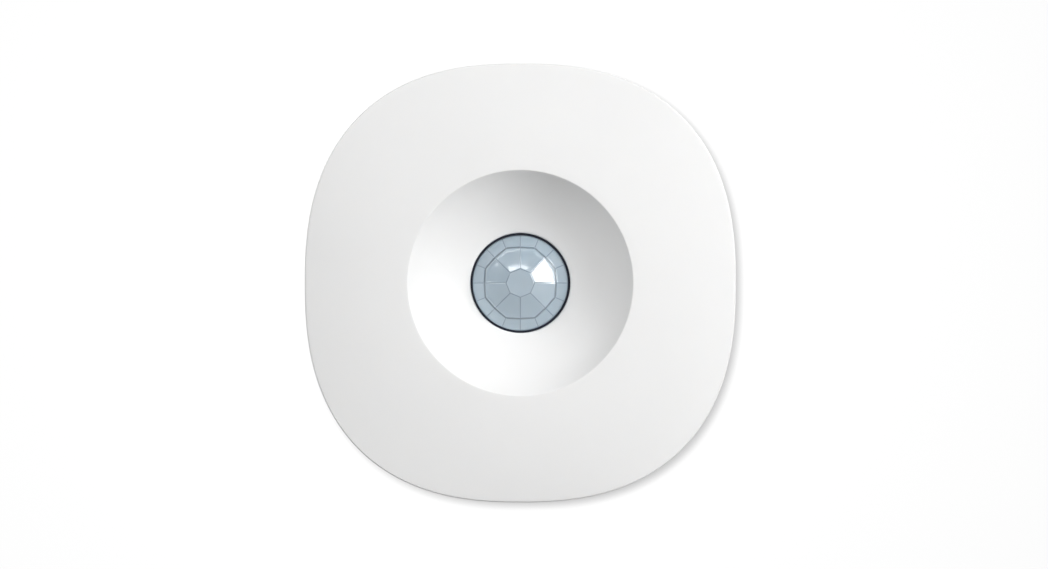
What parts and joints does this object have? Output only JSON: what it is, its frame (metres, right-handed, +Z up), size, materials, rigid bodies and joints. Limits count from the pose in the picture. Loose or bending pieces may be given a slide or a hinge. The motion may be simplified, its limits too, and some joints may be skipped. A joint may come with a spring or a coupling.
{
  "type": "motion sensor",
  "caption": "Wall-mounted passive infrared motion sensor: a rounded-square case with a dished recess, a small faceted dome lens and a magnetic wall plate.",
  "frame": {"origin": "centre of the wall plate's back face, where its adhesive pad meets the wall", "axes": "+Z up, +Y into the wall, lens looking along -Y, +X to the right as seen from the front"},
  "size_m": [0.056, 0.0238, 0.057],
  "materials": {
    "shell_white": "fine moulded texture, soft satin",
    "button_grey": "satin",
    "lens_plastic": "translucent polyethylene, satin, faceted",
    "seal_dark": "satin",
    "black_plastic": "moulded, fine texture",
    "nickel": "nickel plated",
    "cell_steel": "drawn and polished",
    "spring_steel": "rolled",
    "zinc_steel": "zinc plated",
    "gold_pin": "gold flash",
    "header_metal": "gold flash over nickel iron",
    "filter_silicon": "coated silicon, mirror-like and opaque",
    "pyro_ceramic": "fired ceramic",
    "board_green": "solder mask over woven glass epoxy",
    "board_blue": "solder mask over woven glass epoxy",
    "copper_trace": "tinned copper foil",
    "chip_black": "moulded epoxy",
    "capacitor_ochre": "moulded epoxy",
    "capacitor_tan": "fired ceramic with tinned ends",
    "resistor_black": "glazed, with tinned ends",
    "led_resin": "clear resin",
    "sensor_resin": "clear resin",
    "gasket_nylon": "moulded nylon",
    "cell_fill": "pressed powder and film",
    "pad_foam": "foam tape"
  },
  "bodies": {
    "wall_plate": {"wall_plate": "shell_white", "plate_magnet": "nickel", "adhesive_pad": "pad_foam"},
    "rear_cover": {"rear_cover": "shell_white", "keeper_disc": "zinc_steel"},
    "pair_button": {"pair_button": "button_grey"},
    "front_unit": {"front_housing": "shell_white", "lens": "lens_plastic", "lens_gasket": "seal_dark", "lens_retainer": "black_plastic", "pir_insulator": "black_plastic", "pir_header": "header_metal", "pir_leads": "gold_pin", "pir_can": "nickel", "pir_filter": "filter_silicon", "pyro_element": "pyro_ceramic", "main_board": "board_green", "board_screws": "zinc_steel", "radio_board": "board_blue", "radio_shield": "nickel", "antenna": "copper_trace", "signal_processor": "chip_black", "clock_crystal": "nickel", "storage_capacitor": "capacitor_ochre", "chip_capacitors": "capacitor_tan", "chip_resistors": "resistor_black", "status_led": "led_resin", "light_sensor": "sensor_resin", "switch_body": "black_plastic", "switch_cover": "nickel", "switch_terminals": "zinc_steel", "battery_holder": "black_plastic", "positive_contact": "spring_steel", "negative_contact": "spring_steel"},
    "switch_plunger": {"switch_plunger": "black_plastic"},
    "coin_cell": {"cell_can": "cell_steel", "cell_gasket": "gasket_nylon", "cell_cap": "cell_steel", "cell_electrodes": "cell_fill"}
  },
  "joints": [
    {"name": "sensor_pull_off", "type": "slide", "parent": "wall_plate", "child": "rear_cover", "axis": [0, -1, 0], "range_m": [0, 0.025]},
    {"name": "front_pull_off", "type": "slide", "parent": "rear_cover", "child": "front_unit", "axis": [0, -1, 0], "range_m": [0, 0.03]},
    {"name": "button_press", "type": "slide", "parent": "rear_cover", "child": "pair_button", "axis": [0, -1, 0], "range_m": [0, 0.0003], "stiffness_N_per_m": 4000, "springref_m": -0.0001},
    {"name": "switch_plunger_press", "type": "slide", "parent": "front_unit", "child": "switch_plunger", "axis": [0, -1, 0], "range_m": [0, 0.0003]},
    {"name": "cell_slide", "type": "slide", "parent": "front_unit", "child": "coin_cell", "axis": [0, 0, 1], "range_m": [0, 0.012]}
  ],
  "couplings": [
    {"joint": "switch_plunger_press", "follows": "button_press", "ratio": 1}
  ]
}
